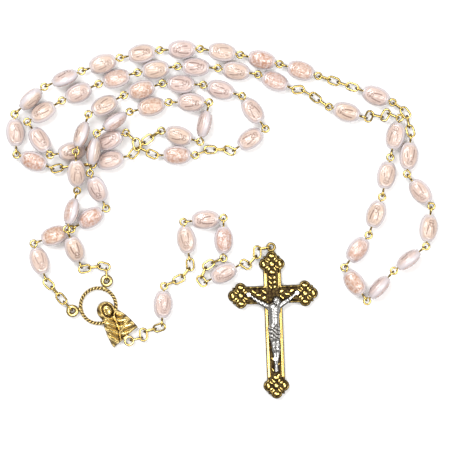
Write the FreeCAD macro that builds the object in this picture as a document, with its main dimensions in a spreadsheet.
"""Rosary of five decades, laid flat on a table and crossed over itself.

The row frame has +Z up and its origin on the flat back of the centrepiece, which lies on the table.
A rosary is a string of rigid pieces joined by rings that hook through one another: eye pins that each
carry a bead, oval chain links, the lugs of the centrepiece and the lug of the crucifix.

How the string is laid: ROUTE_LOOP and ROUTE_PENDANT give, for each bead, the place where its pin ends.
The pieces between are rods of a fixed length. settle() then moves the joints until every rod has its
true length and no two beads press into each other, so the string still closes when a size changes.
"""
import FreeCAD, Part
import math
import os
from FreeCAD import Placement, Rotation, Vector

X_AXIS = Vector(1, 0, 0)
Y_AXIS = Vector(0, 1, 0)
Z_AXIS = Vector(0, 0, 1)
ORIGIN = Vector(0, 0, 0)

# ---------------------------------------------------------------------------------------------------
# Driving dimensions, in millimetres and degrees: alias, value, meaning
# ---------------------------------------------------------------------------------------------------
DIMENSIONS = [
    ("bead_length", 8.0, "bead, along its bore"),
    ("bead_width", 5.7, "bead, across its face"),
    ("bead_thickness", 4.3, "bead, front to back"),
    ("bead_flat", 2.5, "flat at each end of a bead, across"),
    ("wire", 0.6, "wire of the eyes and links, diameter"),
    ("stalk", 0.56, "drawn straight part of an eye pin, diameter"),
    ("bore_gap", 0.08, "clearance between a bead and its pin, on the radius"),
    ("eye_radius", 0.95, "eye of a pin, centre to middle of the wire"),
    ("eye_reach", 1.5, "bead end to the centre of the eye"),
    ("link_length", 4.25, "chain link, outside"),
    ("link_width", 2.7, "chain link, outside"),
    ("hook_gap", 0.1, "clearance between two wires that hook together"),
    ("lug_plane", 1.45, "height of the middle of every lug above the table"),
    ("lug_thickness", 0.6, "thickness of the neck that carries a lug"),
    ("ring_outer", 11.7, "centrepiece ring, outside"),
    ("ring_inner", 9.6, "centrepiece ring, inside"),
    ("ring_height", 1.7, "centrepiece ring, thickness"),
    ("ring_rise", 7.8, "centre of the ring above the origin, along the figure"),
    ("ring_lug_reach", 7.9, "centre of the ring to the hole of a side lug"),
    ("ring_lug_angle", 60.0, "side lugs from the figure's upright"),
    ("lug_play", 0.25, "clearance of a link's eye across the round section of a side lug"),
    ("ring_lug_hole", 1.3, "side lug, hole"),
    ("foot_lug_drop", 6.3, "origin to the hole of the lug under the bust"),
    ("foot_lug_outer", 3.2, "lug under the bust, outside"),
    ("foot_lug_hole", 1.8, "lug under the bust, hole"),
    ("bust_base", 9.6, "bust, width at its base"),
    ("bust_height", 13.0, "bust, base to crown"),
    ("bust_depth", 2.4, "bust, thickness of the robe"),
    ("hood_width", 5.4, "hood, across"),
    ("hood_offset", 0.8, "hood, sideways from the middle"),
    ("centrepiece_turn", 41.3, "centrepiece turned on the table"),
    ("cross_turn", 2.2, "crucifix turned on the table"),
    ("cross_height", 44.5, "cross, without its lug"),
    ("cross_span", 27.2, "cross, tip to tip of its arms"),
    ("cross_bar", 5.4, "width of the beams"),
    ("cross_depth", 2.2, "thickness of the cross"),
    ("cross_rim", 0.55, "raised border round the panel"),
    ("cross_recess", 0.5, "depth of the panel"),
    ("arm_drop", 13.1, "top of the cross to the middle of its arms"),
    ("lobe_radius", 1.75, "lobe of a beam's end"),
    ("lobe_reach", 2.15, "centre of a beam's end to the centre of its lobes"),
    ("bail_outer", 2.9, "lug of the crucifix, outside"),
    ("bail_hole", 1.3, "lug of the crucifix, hole"),
    ("bail_sink", 0.2, "depth that the lug runs into the top of the cross"),
    ("figure_height", 21.5, "silver figure, crown to toes"),
    ("figure_span", 16.4, "silver figure, fingertip to fingertip"),
    ("rivet", 0.6, "rivets that hold the figure, diameter"),
    ("rivet_gap", 0.03, "clearance round a rivet, on the radius"),
    ("rivet_head", 1.1, "head of a rivet, diameter"),
    ("rivet_head_height", 0.25, "head of a rivet, height"),
]

# Sizes worked out on the sheet from the others.
DERIVED = [
    ("ring_lug_outer", "=ring_lug_hole + 2 * (link_width - 2 * wire - lug_play)", "side lug, outside"),
]

# ---------------------------------------------------------------------------------------------------
# The route of the string on the table, in millimetres from the origin.
# A bead's row is (x, y) of the joint at its far end, the bead's roll in degrees on its pin, and the
# lift of that joint above its resting height, in bead thicknesses. A chain's row lists the points it
# passes, the last one its far end, with the lift of each.
# ---------------------------------------------------------------------------------------------------
ROUTE_LOOP = [
    ("chain", [(-17, 9, 0), (-20, 12.5, 0)]),
    ("decade_1", [
        (-23.5, 24, 10, 0), (-12, 27, -12, 0), (-2.5, 35, 8, 0), (-8, 45.5, -15, 0.70),
        (-5.5, 57, 80, 0.85), (4, 63.5, 75, 0.10), (16, 66.5, -8, 0), (29, 67, 10, 0),
        (25, 57, 70, 0), (14, 58, -10, 0),
    ]),
    ("chain", [(8.5, 55, 0), (6, 52.5, 0), (5, 50.5, 0)]),
    ("single_bead_1", [(-5.5, 48, 12, 0)]),
    ("chain", [(-12, 48, 0), (-18, 47.5, 0)]),
    ("decade_2", [
        (-29, 50.5, -10, 0), (-31, 63, 20, 0), (-21, 70, 65, 0), (-11, 75.5, -60, 0),
        (0.5, 79.5, 12, 0), (13, 81.5, -8, 0), (25, 82, 6, 0), (37, 81, -10, 0),
        (49.5, 78, 14, 0), (61.5, 74.5, -6, 0),
    ]),
    ("chain", [(67, 72.5, 0), (72.5, 70.5, 0)]),
    ("single_bead_2", [(84, 66.5, 10, 0)]),
    ("chain", [(87.5, 62.5, 0), (88, 56.5, 0)]),
    ("decade_3", [
        (87.5, 44, -12, 0), (93, 34, 15, 0), (90, 24, -20, 0), (81, 17, 75, 0),
        (77.5, 6, 80, 0), (70.5, 17, -12, 0), (77, 28.5, 8, 0), (80.5, 41, -10, 0),
        (83.5, 52.5, 6, 0), (84, 63, -14, 0),
    ]),
    ("chain", [(82.5, 65, 0), (79, 63.7, 0), (75.5, 62.5, 0)]),
    ("single_bead_3", [(64, 65.5, -8, 0)]),
    ("chain", [(59, 68.5, 0), (53.5, 71, 0)]),
    ("decade_4", [
        (42, 75.5, 10, 0), (30, 77, -12, 0), (18, 77.5, 6, 0), (5.5, 75.5, -8, 0),
        (-6.5, 71.5, 14, 0), (-16.5, 65, -10, 0), (-27.5, 62.5, 18, 0), (-19.5, 52, -15, 0.17),
        (-8, 53, 6, -0.17), (4, 56.5, -8, 0.17),
    ]),
    ("chain", [(6.5, 54.3, 0.68), (9, 52.7, 0.32), (11.5, 52, 0)]),
    ("single_bead_4", [(23, 52, 10, 0)]),
    ("chain", [(29, 52.5, 0), (35, 52.5, 0)]),
    ("decade_5", [
        (44.5, 58.5, -6, 0), (38.5, 68, 12, 0), (26.5, 71.5, -10, 0), (14, 72.5, 8, 0),
        (2.5, 68.5, -12, 0), (-7.5, 62.5, 10, 0.20), (-11, 51.5, 70, 0.90), (-11.5, 39, -15, 0.10),
        (-13.5, 27, 70, 0.65), (-10.5, 16.5, -8, 0),
    ]),
    ("chain", [(-4.5, 18, 0), (-2, 17, 0), (-2.5, 13, 0)]),
]

ROUTE_PENDANT = [
    ("chain", [(8.4, -3.6, 0), (8.4, -2, 0), (12.5, -0.9, 0), (13.9, -0.5, 0)]),
    ("pendant_bead_1", [(14.6, 11.7, 12, 0)]),
    ("chain", [(18.3, 13.4, 0), (19.7, 14.1, 0), (22.5, 17.4, 0), (22.6, 18.8, 0)]),
    ("pendant_bead_2", [(20.5, 30.8, -10, 0)]),
    ("pendant_bead_3", [(32.5, 32.3, 8, 0)]),
    ("pendant_bead_4", [(32.2, 20.2, -12, 0)]),
    ("chain", [(28.4, 18.5, 0), (27.1, 17.6, 0), (25.4, 13.8, 0), (26.2, 12.4, 0)]),
    ("pendant_bead_5", [(38.1, 18.2, 14, 0)]),
    ("chain", [(39.4, 17.5, 0), (42.1, 20.9, 0), (42.5, 22.3, 0), (46.6, 23.4, 0)]),
]

LINKS_PER_CHAIN = 4
# The lengths of string for which the routes are drawn; another length widens or narrows them.
ROUTE_LOOP_LENGTH = 771.62
ROUTE_PENDANT_LENGTH = 108.75
# Pins whose two eyes lie in one plane; on every other pin they stand square to each other.
PLANE_PINS = {("decade_5", 9), ("pendant_bead_5", 0)}

# ---------------------------------------------------------------------------------------------------
# How the figure is modelled, in millimetres before it is scaled to its height
# ---------------------------------------------------------------------------------------------------
# The figure's height for which the distances below are drawn.
FIGURE_DRAWN = 21.5
# Distances down from the middle of the arms.
HEAD_DROP = 2.3
SHOULDER_DROP = 4.0
HIP_DROP = 11.0
KNEE_DROP = 15.6
FEET_DROP = 20.2
# Rivets: in from each fingertip, up from the middle of the arms, and up from the toes.
HAND_INSET = 0.9
HAND_RAISE = 0.3
TOE_SHARE = 0.96
TOE_RAISE = 1.3
# Height of the hands and of the feet above the panel, under the heads of their rivets.
LIMB_HEIGHT = (0.9, 0.9, 1.3)

# ---------------------------------------------------------------------------------------------------
# How the string is eased into its lie
# ---------------------------------------------------------------------------------------------------
# Steepest run, as a rise on its length in plan.
STEEPEST = 0.34
# Clearance under the lowest pieces.
TABLE_GAP = 0.03
# Marks on a bead: their places along it, in lengths, and how much slimmer it is at the outer two.
STATIONS = (-0.32, 0.0, 0.32)
TAPER = 0.84
# Clearance kept between two pieces that lie across or beside each other; a joint's mark in plan as a
# share of its ring; the share of an overlap that each end is pushed; how far marks are watched, in beads.
PRESS_GAP = 0.25
MARK_SLIM = 0.9
PUSH = 0.25
WATCH = 1.6
# Rounds of easing, the last of them with nothing pushed, and the rounds between two new sets of heights.
ROUNDS = 1600
CALM_ROUNDS = 250
SLOPE_EVERY = 50
# Share by which a chain's joint is straightened each round, and the sharpest turn of the string.
EASE = 0.03
SHARPEST = math.radians(82)
# Share by which the pendant is drawn back to its route each round.
PENDANT_HOLD = 0.02
# Links lie rolled a little on each other, by up to this many degrees.
LINK_WOBBLE = 8.0
WOBBLE_STEP = 2.4

FLAT = 0
UPRIGHT = 90


# ---------------------------------------------------------------------------------------------------
# Document helpers
# ---------------------------------------------------------------------------------------------------
def make_sheet(doc):
    """The spreadsheet: one row a dimension, with its alias in column B."""
    sheet = doc.addObject("Spreadsheet::Sheet", "Sizes")
    for row, (alias, value, meaning) in enumerate(DIMENSIONS + DERIVED, start=1):
        sheet.set("A%d" % row, meaning)
        sheet.set("B%d" % row, str(value))
        sheet.setAlias("B%d" % row, alias)
    doc.recompute()
    return sheet


def add(doc, kind, name, **bindings):
    """A new object whose properties follow expressions on the sheet."""
    made = doc.addObject(kind, name)
    for prop, expression in bindings.items():
        made.setExpression(prop.replace("__", "."), bind(expression))
    return made


def bind(expression):
    """Puts the sheet's name before each alias in an expression."""
    words = []
    word = ""
    for char in expression + " ":
        if char.isalnum() or char == "_":
            word += char
            continue
        words.append("Sizes." + word if word in ALIASES else word)
        words.append(char)
        word = ""
    return "".join(words).strip()


ALIASES = {alias for alias, _, _ in DIMENSIONS + DERIVED}


def fuse(doc, name, pieces):
    made = doc.addObject("Part::MultiFuse", name)
    made.Shapes = pieces
    return made


def cut(doc, name, base, tool):
    made = doc.addObject("Part::Cut", name)
    made.Base = base
    made.Tool = tool
    return made


# ---------------------------------------------------------------------------------------------------
# Master pieces, each about its own origin with its bore or length along X
# ---------------------------------------------------------------------------------------------------
def make_bead(doc):
    """A flattened oval: an ellipsoid cut off square at both ends, with a bore along it."""
    oval = add(
        doc, "Part::Ellipsoid", "BeadOval",
        Radius1="bead_length / 2 / sqrt(1 - (bead_flat / bead_width) ^ 2)",
        Radius2="bead_thickness / 2",
        Radius3="bead_width / 2",
    )
    oval.Placement = Placement(ORIGIN, Rotation(Y_AXIS, 90))
    block = add(
        doc, "Part::Box", "BeadBlock",
        Length="bead_length",
        Width="2 * bead_width",
        Height="2 * bead_thickness",
        Placement__Base__x="-bead_length / 2",
        Placement__Base__y="-bead_width",
        Placement__Base__z="-bead_thickness",
    )
    blunt = doc.addObject("Part::Common", "BeadBlunt")
    blunt.Base = oval
    blunt.Tool = block
    bore = add(
        doc, "Part::Cylinder", "BeadBore",
        Radius="stalk / 2 + bore_gap",
        Height="2 * bead_length",
        Placement__Base__x="-bead_length",
    )
    bore.Placement = Placement(ORIGIN, Rotation(Y_AXIS, 90))
    return cut(doc, "Bead", blunt, bore)


def make_pin(doc, name, far_eye):
    """An eye pin: a straight wire with a round eye at each end. The near eye stands upright."""
    half = "(bead_length / 2 + eye_reach)"
    wire = add(
        doc, "Part::Cylinder", name + "Wire",
        Radius="stalk / 2",
        Height="2 * (" + half + " - eye_radius)",
        Placement__Base__x="-(" + half + " - eye_radius)",
    )
    wire.Placement = Placement(ORIGIN, Rotation(Y_AXIS, 90))
    eyes = []
    for side, roll in ((-1, UPRIGHT), (1, far_eye)):
        eye = add(
            doc, "Part::Torus", name + ("NearEye" if side < 0 else "FarEye"),
            Radius1="eye_radius",
            Radius2="wire / 2",
            Placement__Base__x=("-" if side < 0 else "") + half,
        )
        eye.Placement = Placement(ORIGIN, Rotation(X_AXIS, roll))
        eyes.append(eye)
    return fuse(doc, name, [wire] + eyes)


def make_link(doc):
    """An oval chain link lying flat: two half rings joined by two straight sides."""
    round_part = "((link_width - wire) / 2)"
    straight = "(link_length - link_width)"
    pieces = []
    for side, turn in ((-1, 90), (1, -90)):
        bend = add(
            doc, "Part::Torus", "LinkBend" + ("Near" if side < 0 else "Far"),
            Radius1=round_part,
            Radius2="wire / 2",
            Placement__Base__x=("-" if side < 0 else "") + straight + " / 2",
        )
        bend.Angle3 = 180
        bend.Placement = Placement(ORIGIN, Rotation(Z_AXIS, turn))
        pieces.append(bend)
    for side in (-1, 1):
        bar = add(
            doc, "Part::Cylinder", "LinkSide" + ("Right" if side < 0 else "Left"),
            Radius="wire / 2",
            Height=straight,
            Placement__Base__x="-" + straight + " / 2",
            Placement__Base__y=("-" if side < 0 else "") + round_part,
        )
        bar.Placement = Placement(ORIGIN, Rotation(Y_AXIS, 90))
        pieces.append(bar)
    return fuse(doc, "Link", pieces)


# ---------------------------------------------------------------------------------------------------
# Centrepiece: a ring with two lugs and a veiled bust below it, on a lug of its own
# ---------------------------------------------------------------------------------------------------
def disc(doc, name, diameter, height, x, y, z):
    """An upright cylinder centred at x, y, standing on z."""
    return add(
        doc, "Part::Cylinder", name,
        Radius="(" + diameter + ") / 2",
        Height=height,
        Placement__Base__x=x,
        Placement__Base__y=y,
        Placement__Base__z=z,
    )


def eyelet(doc, name, outer, hole, x, y):
    """A lug: a flat ring of round section, its middle at the height of the lugs."""
    return add(
        doc, "Part::Torus", name,
        Radius1="(" + outer + " + " + hole + ") / 4",
        Radius2="(" + outer + " - " + hole + ") / 4",
        Placement__Base__x=x,
        Placement__Base__y=y,
        Placement__Base__z="lug_plane",
    )


def body_plane(body, role):
    """One of a body's own origin planes, by its role."""
    for feature in body.Origin.OriginFeatures:
        if feature.Role == role:
            return feature
    raise ValueError(role)


def make_bust(doc, sheet):
    """The veiled bust: a robe padded from its outline, with a hood and a breast rounded out of it."""
    body = doc.addObject("PartDesign::Body", "Bust")
    sketch = body.newObject("Sketcher::SketchObject", "RobeOutline")
    sketch.AttachmentSupport = (body_plane(body, "XY_Plane"), [""])
    sketch.MapMode = "FlatFace"
    half = sheet.bust_base / 2
    base = -0.37 * sheet.bust_height
    neck = sheet.hood_width / 2
    hood = 0.40 * sheet.bust_height
    outline = [
        (-half, base), (half, base), (0.88 * half, 0.2 * base), (neck + sheet.hood_offset, hood),
        (sheet.hood_offset - neck, hood), (-0.80 * half, 0.2 * base),
    ]
    for index, start in enumerate(outline):
        end = outline[(index + 1) % len(outline)]
        sketch.addGeometry(Part.LineSegment(Vector(start[0], start[1], 0), Vector(end[0], end[1], 0)))
    robe = body.newObject("PartDesign::Pad", "Robe")
    robe.Profile = sketch
    robe.setExpression("Length", bind("bust_depth"))
    rounded = (
        ("Hood", "hood_width / 2", "hood_width / 2", "bust_depth * 0.85", "hood_offset",
         "bust_height * 0.63 - hood_width / 2", "bust_depth * 0.75"),
        ("Breast", "bust_base * 0.36", "bust_height * 0.27", "bust_depth * 0.65", "0",
         "-bust_height * 0.07", "bust_depth * 0.8"),
    )
    for name, across, along, depth, x, y, z in rounded:
        swell = body.newObject("PartDesign::AdditiveEllipsoid", name)
        swell.setExpression("Radius1", bind(depth))
        swell.setExpression("Radius2", bind(across))
        swell.setExpression("Radius3", bind(along))
        swell.MapMode = "Deactivated"
        swell.setExpression("Placement.Base.x", bind(x))
        swell.setExpression("Placement.Base.y", bind(y))
        swell.setExpression("Placement.Base.z", bind(z))
    return body


def make_centrepiece(doc, sheet):
    band = cut(
        doc, "RingBand",
        disc(doc, "RingOuter", "ring_outer", "ring_height", "0", "ring_rise", "0"),
        disc(doc, "RingInner", "ring_inner", "3 * ring_height", "0", "ring_rise", "-ring_height"),
    )
    side_x = "ring_lug_reach * sin(ring_lug_angle * 1 deg)"
    side_y = "ring_rise + ring_lug_reach * cos(ring_lug_angle * 1 deg)"
    solids = [band, make_bust(doc, sheet)]
    solids.append(eyelet(doc, "LeftLug", "ring_lug_outer", "ring_lug_hole", "-" + side_x, side_y))
    solids.append(eyelet(doc, "RightLug", "ring_lug_outer", "ring_lug_hole", side_x, side_y))
    solids.append(eyelet(doc, "FootLug", "foot_lug_outer", "foot_lug_hole", "0", "-foot_lug_drop"))
    foot_end = "(foot_lug_outer + foot_lug_hole) / 4 - foot_lug_drop"
    solids.append(beam(
        doc, "FootNeck", "-foot_lug_outer / 4", "foot_lug_outer / 4", foot_end,
        "foot_lug_outer / 2 - foot_lug_drop + wire", "lug_plane - lug_thickness / 2", "lug_thickness",
    ))
    for side, name in ((-1, "LeftNeck"), (1, "RightNeck")):
        neck = add(
            doc, "Part::Box", name,
            Length="ring_lug_outer * 0.45",
            Width="ring_lug_reach - ring_outer * 0.47 - (ring_lug_outer + ring_lug_hole) / 4",
            Height="lug_thickness",
        )
        turn = Rotation(Z_AXIS, -side * sheet.ring_lug_angle)
        start = turn.multVec(
            Vector(-sheet.ring_lug_outer * 0.225, sheet.ring_outer * 0.47, 0)
        )
        neck.Placement = Placement(
            start + Vector(0, sheet.ring_rise, sheet.lug_plane - sheet.lug_thickness / 2), turn
        )
        solids.append(neck)
    whole = fuse(doc, "CentrepieceSolid", solids)
    floor = add(
        doc, "Part::Box", "CentrepieceFloor",
        Length="4 * ring_outer",
        Width="4 * ring_outer",
        Height="ring_outer",
        Placement__Base__x="-2 * ring_outer",
        Placement__Base__y="-2 * ring_outer",
        Placement__Base__z="-ring_outer",
    )
    return cut(doc, "Centrepiece", whole, floor)


# ---------------------------------------------------------------------------------------------------
# Crucifix: about the hole of its lug, with its foot towards -Y
# ---------------------------------------------------------------------------------------------------
def beam(doc, name, x0, x1, y0, y1, z, height):
    return add(
        doc, "Part::Box", name,
        Length="(" + x1 + ") - (" + x0 + ")",
        Width="(" + y1 + ") - (" + y0 + ")",
        Height=height,
        Placement__Base__x=x0,
        Placement__Base__y=y0,
        Placement__Base__z=z,
    )


def cross_outline(doc, name, inset, z, height):
    """The cross's outline pulled in by inset: two beams, each ending in three round lobes."""
    top = "(bail_sink - bail_outer / 2)"
    foot = "(" + top + " - cross_height)"
    arms = "(" + top + " - arm_drop)"
    half = "(cross_bar / 2 - " + inset + ")"
    end = "(lobe_reach + lobe_radius)"
    pieces = [
        beam(doc, name + "Post", "-" + half, half, foot + " + " + end, top + " - " + end, z, height),
        beam(
            doc, name + "Arms", "-(cross_span / 2 - " + end + ")", "cross_span / 2 - " + end,
            arms + " - " + half, arms + " + " + half, z, height,
        ),
    ]
    ends = (
        ("Top", "0", top + " - " + end),
        ("Foot", "0", foot + " + " + end),
        ("Left", "-(cross_span / 2 - " + end + ")", arms),
        ("Right", "cross_span / 2 - " + end, arms),
    )
    lobe = "2 * (lobe_radius - " + inset + ")"
    for place, x, y in ends:
        pieces.append(disc(doc, name + place + "Middle", "cross_bar - 2 * " + inset, height, x, y, z))
        for index, (dx, dy) in enumerate(((1, 0), (-1, 0), (0, 1), (0, -1))):
            lobe_x = x + (" + %d * lobe_reach" % dx)
            lobe_y = y + (" + %d * lobe_reach" % dy)
            pieces.append(disc(doc, name + place + "Lobe%d" % index, lobe, height, lobe_x, lobe_y, z))
    return fuse(doc, name, pieces)


def arms_middle(sheet):
    """Middle of the arms, from the lug's hole."""
    return sheet.bail_sink - sheet.bail_outer / 2 - sheet.arm_drop


def rivet_places(sheet):
    """Hands and feet of the figure, from the lug's hole."""
    arms = arms_middle(sheet)
    hand = sheet.figure_span / 2 - HAND_INSET
    toes = arms - TOE_SHARE * sheet.figure_height
    return [(-hand, arms + HAND_RAISE), (hand, arms + HAND_RAISE), (0, toes + TOE_RAISE)]


def make_cross(doc, sheet):
    slab = cross_outline(doc, "CrossSlab", "0", "0", "cross_depth")
    panel = cross_outline(doc, "CrossPanel", "cross_rim", "cross_depth - cross_recess", "cross_depth")
    recessed = cut(doc, "CrossRecessed", slab, panel)
    lug = eyelet(doc, "BailLug", "bail_outer", "bail_hole", "0", "0")
    neck = beam(
        doc, "BailNeck", "-bail_outer * 0.3", "bail_outer * 0.3", "-bail_outer * 0.8",
        "-bail_outer * 0.35", "lug_plane - lug_thickness / 2", "lug_thickness",
    )
    holes = rivet_holes(doc, sheet, "CrossRivetHole")
    whole = fuse(doc, "CrossSolid", [recessed, lug, neck])
    return cut(doc, "Cross", whole, fuse(doc, "CrossHoles", holes))


def rivet_holes(doc, sheet, name):
    holes = []
    for index, (x, y) in enumerate(rivet_places(sheet), start=1):
        holes.append(disc(
            doc, name + str(index), "rivet + 2 * rivet_gap", "6 * cross_depth", str(x), str(y),
            "-cross_depth",
        ))
    return holes


def make_rivets(doc, sheet):
    """Three rivets through the hands and feet, flush at the back and with a head on the figure."""
    rivets = []
    for index, (x, y) in enumerate(rivet_places(sheet), start=1):
        top = "cross_depth - cross_recess + %s" % LIMB_HEIGHT[index - 1]
        shank = disc(doc, "RivetShank%d" % index, "rivet", top, str(x), str(y), "0")
        head = disc(
            doc, "RivetHead%d" % index, "rivet_head", "rivet_head_height", str(x), str(y), top,
        )
        rivets.append(fuse(doc, "Rivet%d" % index, [shank, head]))
    return rivets


def limb(start, end, radius_start, radius_end):
    """A tapered limb between two points with a ball at its far end."""
    run = end - start
    cone = Part.makeCone(radius_start, radius_end, run.Length, start, run)
    return cone.fuse(Part.makeSphere(radius_end, end))


def make_figure(doc, sheet):
    """The silver figure, a low relief lying on the panel: torso, cloth, head, arms and legs."""
    arms = arms_middle(sheet)
    unit = sheet.figure_height / FIGURE_DRAWN
    hand = sheet.figure_span / 2 - HAND_INSET
    ground = sheet.cross_depth - sheet.cross_recess
    shoulder = arms - SHOULDER_DROP * unit
    hip = arms - HIP_DROP * unit
    knee = arms - KNEE_DROP * unit
    feet = arms - FEET_DROP * unit
    head = Vector(1.1 * unit, arms - HEAD_DROP * unit, ground + 1.5)
    pieces = [Part.makeSphere(1.35 * unit, head)]
    pieces.append(limb(Vector(0.3, shoulder, ground + 1.1), head, 0.8 * unit, 0.65 * unit))
    pieces.append(limb(
        Vector(0, shoulder - 0.4 * unit, ground + 0.8), Vector(0, hip, ground + 0.8),
        2.05 * unit, 1.6 * unit,
    ))
    pieces.append(Part.makeSphere(2.0 * unit, Vector(0, shoulder - 0.7 * unit, ground + 0.3)))
    pieces.append(limb(
        Vector(0, hip + 1.6 * unit, ground + 0.8), Vector(0, hip - 2.0 * unit, ground + 0.8),
        1.9 * unit, 2.0 * unit,
    ))
    for side in (-1, 1):
        wrist = Vector(side * hand, arms + HAND_RAISE, ground + 0.3)
        pieces.append(limb(
            Vector(side * 1.6 * unit, shoulder, ground + 0.9), wrist, 0.85 * unit, 0.6,
        ))
        bent = Vector(side * 0.85 * unit, knee, ground + 1.2)
        pieces.append(limb(
            Vector(side * 1.0 * unit, hip - 1.0 * unit, ground + 0.8), bent, 1.2 * unit, 0.95 * unit,
        ))
        pieces.append(limb(bent, Vector(side * 0.35, feet, ground + 0.7), 0.95 * unit, 0.6 * unit))
    solid = pieces[0].multiFuse(pieces[1:])
    reach = 2 * sheet.figure_height
    below = Part.makeBox(
        2 * reach, 2 * reach, reach, Vector(-reach, arms - reach, ground - reach),
    )
    solid = solid.cut(below)
    inner = sheet.cross_bar / 2 - sheet.cross_rim - sheet.rivet_gap
    above_rim = sheet.cross_depth + sheet.rivet_gap
    for x in (inner, -inner - reach):
        corner = Vector(x, arms - inner - reach, above_rim - reach)
        solid = solid.cut(Part.makeBox(reach, reach, reach, corner))
    for index, (x, y) in enumerate(rivet_places(sheet)):
        above = LIMB_HEIGHT[index]
        solid = solid.cut(Part.makeCylinder(
            sheet.rivet_head / 2 + sheet.rivet_gap, 10, Vector(x, y, ground + above), Z_AXIS,
        ))
        solid = solid.cut(Part.makeCylinder(
            sheet.rivet / 2 + sheet.rivet_gap, 20, Vector(x, y, 0), Z_AXIS,
        ))
    return solid.removeSplitter()


# ---------------------------------------------------------------------------------------------------
# The string: units, rods and the places of their joints
# ---------------------------------------------------------------------------------------------------
class Unit:
    """One rigid piece of the string, with a ring at each end.

    near and far say how each ring lies, FLAT or UPRIGHT. core is the distance between the centres of
    the two rings, and radius is a ring's centre to the middle of its wire. The string turns in plan
    about the centre of the flat ring of each joint, and in height about the centre of the upright one.
    So a piece's straight run in plan also takes in lead and tail, the short reaches to the flat rings
    of its neighbours, each of which rises with the neighbour and not with the piece.
    """

    def __init__(self, kind, group, number, near, far, core, radius, roll=0.0):
        self.kind = kind
        self.group = group
        self.number = number
        self.near = near
        self.far = far
        self.core = core
        self.radius = radius
        self.roll = roll
        self.lead = 0.0
        self.tail = 0.0
        self.lead_rise = 0.0
        self.rise = 0.0
        self.tail_rise = 0.0
        self.near_rise = 0.0
        self.near_ring = None
        self.far_ring = None

    @property
    def rod(self):
        """Length of the straight run in plan. Each rise is the sine of a slope."""
        parts = ((self.lead, self.lead_rise), (self.core, self.rise), (self.tail, self.tail_rise))
        return sum(length * math.sqrt(1 - rise * rise) for length, rise in parts)

    def set_rings(self, start, end, reach):
        """Places both rings on the run from start to end, which also holds the upright ring's height.

        reach is the short way from that upright ring to this piece's near ring.
        """
        heading = Vector(end[0] - start[0], end[1] - start[1], 0).normalize()
        before = self.lead * math.sqrt(1 - self.lead_rise ** 2)
        level = math.sqrt(1 - self.rise ** 2)
        near_z = start[2] + reach * self.near_rise
        self.near_ring = Vector(start[0], start[1], near_z) + heading * before
        self.far_ring = self.near_ring + (heading * level + Z_AXIS * self.rise) * self.core

    def placement(self, roll=0.0):
        """Lays the master piece along the run with its own Z as near to upright as the run allows."""
        along = (self.far_ring - self.near_ring).normalize()
        across = Z_AXIS.cross(along).normalize()
        upright = along.cross(across)
        turn = Rotation(along, across, upright, "XZY")
        return Placement((self.near_ring + self.far_ring) * 0.5, turn.multiply(Rotation(X_AXIS, roll)))


def units_of(route, sheet, first_lug_reach, last_lug_reach):
    """The pieces of a route in order, with how their rings lie and what each rod takes in."""
    link_radius = (sheet.link_width - sheet.wire) / 2
    link_core = sheet.link_length - sheet.link_width
    pin_core = sheet.bead_length + 2 * sheet.eye_reach
    units = []
    lies = FLAT
    chains = 0
    for group, rows in route:
        if group == "chain":
            chains += 1
            for number in range(LINKS_PER_CHAIN):
                lies = UPRIGHT if lies == FLAT else FLAT
                units.append(Unit("link", "chain_%d" % chains, number, lies, lies, link_core, link_radius))
            continue
        for number, row in enumerate(rows):
            near = UPRIGHT if lies == FLAT else FLAT
            lies = near if (group, number) in PLANE_PINS else (UPRIGHT if near == FLAT else FLAT)
            units.append(Unit("pin", group, number, near, lies, pin_core, sheet.eye_radius, row[2]))
    for before, after in zip(units, units[1:]):
        reach = hook_reach(before, after, sheet)
        if before.far == FLAT:
            after.lead = reach
        else:
            before.tail = reach
    units[0].lead = first_lug_reach + units[0].radius
    units[-1].tail = last_lug_reach + units[-1].radius
    return units


def spread_along(points, fractions):
    """Points at the given fractions of the length of a broken line of (x, y, lift) rows."""
    runs = [math.dist(a[:2], b[:2]) for a, b in zip(points, points[1:])]
    whole = sum(runs)
    placed = []
    for fraction in fractions:
        left = fraction * whole
        for index, run in enumerate(runs):
            if left <= run or index == len(runs) - 1:
                share = left / run
                a, b = points[index], points[index + 1]
                placed.append([a[k] + (b[k] - a[k]) * share for k in range(3)])
                break
            left -= run
    return placed


def first_guess(route, units, stretch, start, end):
    """A joint for each end of each rod, as [x, y, lift], from the route's rows."""
    joints = [[start.x, start.y, 0]]
    index = 0
    for group, rows in route:
        if group != "chain":
            for x, y, _, lift in rows:
                joints.append([x, y, lift])
                index += 1
            continue
        rods = [unit.rod for unit in units[index:index + LINKS_PER_CHAIN]]
        marks = [sum(rods[:k + 1]) / sum(rods) for k in range(LINKS_PER_CHAIN)]
        joints += spread_along([tuple(joints[-1])] + rows, marks)
        index += LINKS_PER_CHAIN
    joints[-1] = [end.x, end.y, 0]
    for joint in joints[1:-1]:
        joint[0] *= stretch
        joint[1] *= stretch
    return joints


def bead_half(sheet, roll):
    """Half the width in plan and half the height of a bead rolled on its pin."""
    wide, thick = sheet.bead_width / 2, sheet.bead_thickness / 2
    c, s = math.cos(math.radians(roll)), math.sin(math.radians(roll))
    return math.hypot(wide * c, thick * s), math.hypot(thick * c, wide * s)


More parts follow.
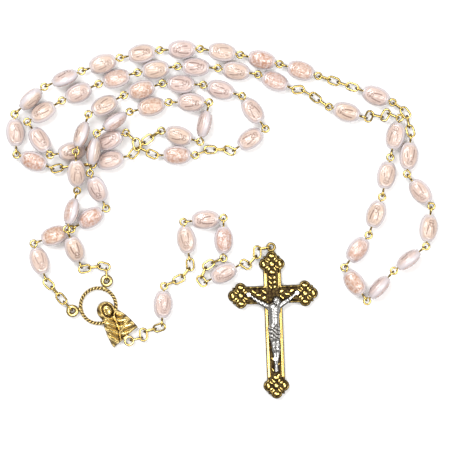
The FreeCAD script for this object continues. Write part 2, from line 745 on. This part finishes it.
def set_heights(joints, units, sheet, start_z, end_z):
    """Height of each joint's upright ring, so that what is beside it rests on the table, and slopes."""
    pin_rest = sheet.bead_thickness / 2 + TABLE_GAP
    link_rest = sheet.link_width / 2 + TABLE_GAP
    for index, joint in enumerate(joints):
        beside = units[max(index - 1, 0):index + 1]
        pins = [unit for unit in beside if unit.kind == "pin"]
        rest = link_rest
        if pins:
            rest = max([pin_rest] + [bead_half(sheet, unit.roll)[1] + TABLE_GAP for unit in pins])
        joint[2] = rest + joint[2] * sheet.bead_thickness
    joints[0][2] = start_z
    joints[-1][2] = end_z
    spans = [unit.core + reach_before(units, index, sheet) + reach_after(units, index, sheet)
             for index, unit in enumerate(units)]
    for index in list(range(1, len(units))) * 2:
        for low, high, span in (
            (index, index + 1, spans[index]), (index, index - 1, spans[index - 1]),
        ):
            joints[low][2] = max(joints[low][2], joints[high][2] - STEEPEST * span)


def hook_reach(before, after, sheet):
    """Between the centres of two rings that hook through each other."""
    return before.radius + after.radius - sheet.wire - sheet.hook_gap


def reach_before(units, index, sheet):
    if units[index].near == UPRIGHT:
        return 0.0
    return hook_reach(units[index - 1], units[index], sheet)


def reach_after(units, index, sheet):
    if units[index].far == UPRIGHT:
        return 0.0
    return hook_reach(units[index], units[index + 1], sheet)


def turn_cosine(joints, index):
    """Cosine of the string's turn in plan at a joint."""
    a, b, c = joints[index - 1], joints[index], joints[index + 1]
    along = sum((b[k] - a[k]) * (c[k] - b[k]) for k in range(2))
    return along / (math.dist(a[:2], b[:2]) * math.dist(b[:2], c[:2]))


def set_slopes(joints, units, sheet):
    """Slope of each piece, from one upright ring to the next.

    A short reach that leaves a sloping flat ring sideways climbs less, by the cosine of the turn.
    """
    turns = [1.0] + [turn_cosine(joints, index) for index in range(1, len(units))] + [1.0]
    for index, unit in enumerate(units):
        span = unit.core + turns[index] * reach_before(units, index, sheet)
        span += turns[index + 1] * reach_after(units, index, sheet)
        unit.rise = (joints[index + 1][2] - joints[index][2]) / span
    for index in range(1, len(units)):
        before, after = units[index - 1], units[index]
        after.lead_rise = before.rise * turns[index]
        before.tail_rise = after.rise * turns[index]
        after.near_rise = after.rise * turns[index]


def markers(units, sheet):
    """Round marks that keep pieces apart: three on each bead and one on each joint.

    A mark is (rod, fraction of the rod, half width in plan, half height).
    """
    marks = []
    for index, unit in enumerate(units):
        if unit.kind == "pin":
            wide, high = bead_half(sheet, unit.roll)
            for station in STATIONS:
                fraction = (unit.lead + unit.core / 2 + station * sheet.bead_length) / unit.rod
                scale = TAPER if station else 1.0
                marks.append(("bead", index, fraction, wide * scale, high * scale))
        ring = unit.radius + sheet.wire / 2
        marks.append(("joint", index, 1.0, ring * MARK_SLIM, ring))
    return marks


def close_pairs(marks, joints, reach):
    pairs = []
    for i, one in enumerate(marks):
        for two in marks[i + 1:]:
            gap = abs(one[1] - two[1])
            if gap == 0 or (gap < 3 and not (one[0] == two[0] == "bead")):
                continue
            if math.dist(spot(one, joints)[:2], spot(two, joints)[:2]) < reach:
                pairs.append((one, two))
    return pairs


def spot(mark, joints):
    a, b = joints[mark[1]], joints[mark[1] + 1]
    return [a[k] + (b[k] - a[k]) * mark[2] for k in range(3)]


def push_apart(pairs, joints, fixed):
    """Moves two marks apart in plan where their ovals meet, each taking half of the move."""
    for one, two in pairs:
        p, q = spot(one, joints), spot(two, joints)
        rise = abs(p[2] - q[2]) / (one[4] + two[4])
        if rise >= 1:
            continue
        needed = (one[3] + two[3]) * math.sqrt(1 - rise * rise) + PRESS_GAP
        apart = math.dist(p[:2], q[:2])
        if apart >= needed:
            continue
        for mark, sign in ((one, 1), (two, -1)):
            for joint, share in ((mark[1], 1 - mark[2]), (mark[1] + 1, mark[2])):
                if joint in fixed:
                    continue
                for k in range(2):
                    joints[joint][k] += sign * share * PUSH * (needed - apart) * (p[k] - q[k]) / apart


def ease_chains(joints, units, fixed):
    """Where a chain turns sharply, draws the joint towards the line of its neighbours."""
    for index in range(1, len(units)):
        before, after = units[index - 1], units[index]
        if index in fixed or "link" not in (before.kind, after.kind):
            continue
        a, b, c = joints[index - 1], joints[index], joints[index + 1]
        along = [(b[k] - a[k]) * (c[k] - b[k]) for k in range(2)]
        if sum(along) > math.cos(SHARPEST) * math.dist(a[:2], b[:2]) * math.dist(b[:2], c[:2]):
            continue
        for k in range(2):
            b[k] += EASE * ((a[k] + c[k]) / 2 - b[k])


def settle(joints, units, sheet, hold):
    """Brings every rod to its true length, a little at a time, with the heights kept.

    hold is the share of its distance from the drawn route that a joint is brought back each time.
    """
    fixed = {0, len(units)}
    pairs = close_pairs(markers(units, sheet), joints, WATCH * sheet.bead_length)
    drawn = [joint[:2] for joint in joints]
    for turn in range(ROUNDS):
        if turn % SLOPE_EVERY == 0:
            set_slopes(joints, units, sheet)
        if turn < ROUNDS - CALM_ROUNDS:
            push_apart(pairs, joints, fixed)
            ease_chains(joints, units, fixed)
            for index in range(1, len(units)):
                for k in range(2):
                    joints[index][k] += hold * (drawn[index][k] - joints[index][k])
        for index, unit in enumerate(units):
            a, b = joints[index], joints[index + 1]
            now = math.dist(a[:2], b[:2])
            free = (index not in fixed) + ((index + 1) not in fixed)
            step = (now - unit.rod) / now / free
            for k in range(2):
                move = step * (b[k] - a[k])
                if index not in fixed:
                    a[k] += move
                if (index + 1) not in fixed:
                    b[k] -= move
    for index, unit in enumerate(units):
        unit.set_rings(joints[index], joints[index + 1], reach_before(units, index, sheet))


def lug_reach(sheet, hole):
    """Centre of a lug's hole to the middle of the wire that pulls against its side."""
    return hole / 2 - sheet.wire / 2 - sheet.hook_gap


def lug_spot(sheet, x, y):
    turned = Rotation(Z_AXIS, sheet.centrepiece_turn).multVec(Vector(x, y, 0))
    return Vector(turned.x, turned.y, sheet.lug_plane)


def lay_string(sheet):
    """The settled units of the loop and of the pendant, and the hole of the crucifix's lug."""
    angle = math.radians(sheet.ring_lug_angle)
    side = sheet.ring_lug_reach * math.sin(angle)
    rise = sheet.ring_rise + sheet.ring_lug_reach * math.cos(angle)
    left = lug_spot(sheet, -side, rise)
    right = lug_spot(sheet, side, rise)
    foot = lug_spot(sheet, 0, -sheet.foot_lug_drop)
    side_reach = lug_reach(sheet, sheet.ring_lug_hole)
    foot_reach = lug_reach(sheet, sheet.foot_lug_hole)
    bail_reach = lug_reach(sheet, sheet.bail_hole)

    loop = units_of(ROUTE_LOOP, sheet, side_reach, side_reach)
    stretch = sum(unit.rod for unit in loop) / ROUTE_LOOP_LENGTH
    joints = first_guess(ROUTE_LOOP, loop, stretch, left, right)
    set_heights(joints, loop, sheet, left.z, right.z)
    settle(joints, loop, sheet, 0)

    pendant = units_of(ROUTE_PENDANT, sheet, foot_reach, bail_reach)
    bail_x, bail_y, _ = ROUTE_PENDANT[-1][1][-1]
    stretch = sum(unit.rod for unit in pendant) / ROUTE_PENDANT_LENGTH
    bail = Vector(bail_x, bail_y, 0) * stretch + Vector(0, 0, sheet.lug_plane)
    joints = first_guess(ROUTE_PENDANT, pendant, stretch, foot, bail)
    set_heights(joints, pendant, sheet, foot.z, bail.z)
    settle(joints, pendant, sheet, PENDANT_HOLD)
    return loop, pendant, bail


def link_roll(unit, number):
    """Links lie a little off square, each by its own amount."""
    return unit.near + LINK_WOBBLE * math.sin(WOBBLE_STEP * number)


# ---------------------------------------------------------------------------------------------------
# The nodes
# ---------------------------------------------------------------------------------------------------
def place(doc, label, shapes):
    """A node made of placed copies of the master shapes."""
    node = doc.addObject("Part::Feature", "Node_" + label)
    node.Label = label
    copies = [shape.copy() for shape, _ in shapes]
    for copied, (_, placement) in zip(copies, shapes):
        copied.Placement = placement
    node.Shape = copies[0] if len(copies) == 1 else Part.makeCompound(copies)
    return node


def string_nodes(doc, units, masters, chain_offset, one_by_one):
    """Nodes of one stretch of string. One by one, each link and pin is a node of its own."""
    groups = {}
    for number, unit in enumerate(units):
        if unit.kind == "link":
            chain = int(unit.group.split("_")[1]) + chain_offset
            label = "chain_%d" % chain
            if one_by_one:
                label = "chain_%d_link_%d" % (chain, unit.number + 1)
            placed = (masters["link"], unit.placement(link_roll(unit, number)))
            groups.setdefault(label, []).append(placed)
            continue
        pin = masters["pin_plane"] if unit.near == unit.far else masters["pin_square"]
        base = unit.group
        bead_label = base + "_beads" if base.startswith("decade") else base
        pin_label = base.replace("_bead", "_pin") if "_bead" in base else base + "_pins"
        groups.setdefault(pin_label, []).append((pin, unit.placement(unit.near - UPRIGHT)))
        groups.setdefault(bead_label, []).append((masters["bead"], unit.placement(unit.roll)))
    return [place(doc, label, shapes) for label, shapes in groups.items()]


def check_document(doc, nodes):
    for made in doc.Objects:
        if "Invalid" in made.State or "Error" in made.State:
            raise RuntimeError("%s did not build: %s" % (made.Name, made.State))
    labels = [node.Label for node in nodes]
    if len(set(labels)) != len(labels):
        raise RuntimeError("two nodes share a name")
    for node in nodes:
        if node.Shape.isNull() or not node.Shape.isValid():
            raise RuntimeError(node.Label + " has no valid shape")


def build():
    doc = FreeCAD.newDocument("Rosary")
    sheet = make_sheet(doc)
    bead = make_bead(doc)
    pin_square = make_pin(doc, "PinSquare", FLAT)
    pin_plane = make_pin(doc, "PinPlane", UPRIGHT)
    link = make_link(doc)
    centrepiece = make_centrepiece(doc, sheet)
    cross = make_cross(doc, sheet)
    rivets = make_rivets(doc, sheet)
    doc.recompute()

    masters = {
        "bead": bead.Shape,
        "pin_square": pin_square.Shape,
        "pin_plane": pin_plane.Shape,
        "link": link.Shape,
    }
    loop, pendant, bail = lay_string(sheet)
    nodes = string_nodes(doc, loop, masters, 0, False)
    loop_chains = sum(1 for group, _ in ROUTE_LOOP if group == "chain")
    nodes += string_nodes(doc, pendant, masters, loop_chains, True)

    centrepiece.Label = "centrepiece"
    centrepiece.Placement = Placement(ORIGIN, Rotation(Z_AXIS, sheet.centrepiece_turn))
    nodes.append(centrepiece)

    hang = Placement(Vector(bail.x, bail.y, 0), Rotation(Z_AXIS, sheet.cross_turn))
    cross.Label = "crucifix_cross"
    cross.Placement = hang
    nodes.append(cross)
    nodes.append(place(doc, "crucifix_figure", [(make_figure(doc, sheet), hang)]))
    nodes.append(place(doc, "crucifix_rivets", [(rivet.Shape, hang) for rivet in rivets]))
    doc.recompute()
    check_document(doc, nodes)
    return doc, nodes, loop, pendant


def write_parts(nodes):
    os.makedirs("parts", exist_ok=True)
    for node in nodes:
        node.Shape.exportStep(os.path.join("parts", node.Label + ".step"))


DOC, NODES, LOOP, PENDANT = build()
write_parts(NODES)
print("%d nodes, %d solids" % (len(NODES), sum(len(node.Shape.Solids) for node in NODES)))
